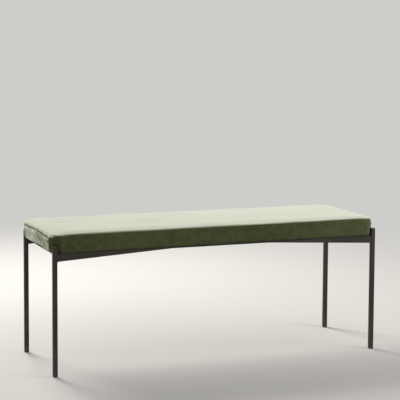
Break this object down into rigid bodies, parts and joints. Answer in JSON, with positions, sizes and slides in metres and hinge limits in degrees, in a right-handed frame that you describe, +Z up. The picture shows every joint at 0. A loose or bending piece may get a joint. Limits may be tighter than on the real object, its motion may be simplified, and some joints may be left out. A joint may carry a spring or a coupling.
{
  "type": "upholstered bench",
  "caption": "Backless bench: a long velvet seat pad bolted on a welded square-tube steel frame with tapered rails and legs that rise past the pad's corners.",
  "frame": {"origin": "on the floor, under the middle of the seat", "axes": "+X along the bench to its right end, +Y from the front to the back, +Z up"},
  "size_m": [1.203, 0.393, 0.485],
  "materials": {
    "powder_coat": "matt black powder coat, fine texture",
    "black_plastic": "moulded matt black",
    "velvet": "olive green cut velvet with a pale nap",
    "polyester_wadding": "lofted white fibre",
    "seat_foam": "open cell foam",
    "plywood": "sanded, unsealed",
    "non_woven": "black spun-bonded cloth",
    "galvanised_wire": "galvanised",
    "zinc_plate": "bright zinc",
    "black_zinc": "black zinc"
  },
  "bodies": {
    "root": {"leg_front_left": "powder_coat", "leg_front_right": "powder_coat", "leg_back_left": "powder_coat", "leg_back_right": "powder_coat", "front_rail": "powder_coat", "back_rail": "powder_coat", "rail_web_front_left": "powder_coat", "rail_web_front_right": "powder_coat", "rail_web_back_left": "powder_coat", "rail_web_back_right": "powder_coat", "end_bar_left": "powder_coat", "end_bar_right": "powder_coat", "cross_bar": "powder_coat", "frame_welds": "powder_coat", "top_cap_front_left": "black_plastic", "top_cap_front_right": "black_plastic", "top_cap_back_left": "black_plastic", "top_cap_back_right": "black_plastic", "foot_glide_front_left": "black_plastic", "foot_glide_front_right": "black_plastic", "foot_glide_back_left": "black_plastic", "foot_glide_back_right": "black_plastic", "velvet_wrap": "velvet", "velvet_end_left": "velvet", "velvet_end_right": "velvet", "wadding": "polyester_wadding", "foam_block": "seat_foam", "seat_board": "plywood", "dust_cover": "non_woven", "hem_staples": "galvanised_wire", "dust_cover_staples": "galvanised_wire", "tee_nuts": "zinc_plate", "seat_bolts": "black_zinc", "bolt_washers": "black_zinc"}
  },
  "joints": []
}
